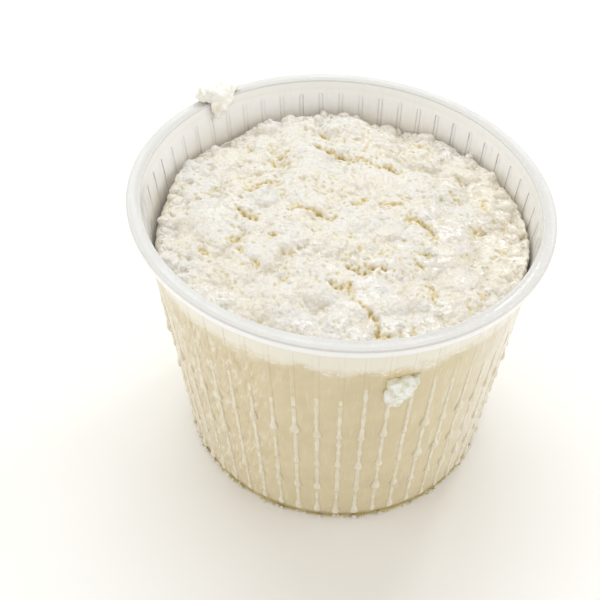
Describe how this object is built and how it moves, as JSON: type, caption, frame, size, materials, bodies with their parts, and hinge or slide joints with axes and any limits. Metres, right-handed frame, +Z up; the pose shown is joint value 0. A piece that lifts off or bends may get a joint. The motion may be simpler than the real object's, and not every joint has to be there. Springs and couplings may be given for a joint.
{
  "type": "ricotta in basket",
  "caption": "Fresh ricotta filling a tapered slotted plastic basket, its grainy domed top below the flanged rim and curd squeezed out of the slots.",
  "frame": {"origin": "middle of the part's footprint, on the surface that the basket stands on", "axes": "+Z up out of the basket's mouth, -Y towards the side with the lump of curd on the wall"},
  "size_m": [0.1351, 0.135, 0.1072],
  "materials": {
    "natural_plastic": "translucent, satin",
    "fresh_curd": "moist and grainy"
  },
  "bodies": {
    "root": {"basket": "natural_plastic", "ricotta": "fresh_curd", "curd_on_rim": "fresh_curd", "curd_on_wall": "fresh_curd"}
  },
  "joints": []
}
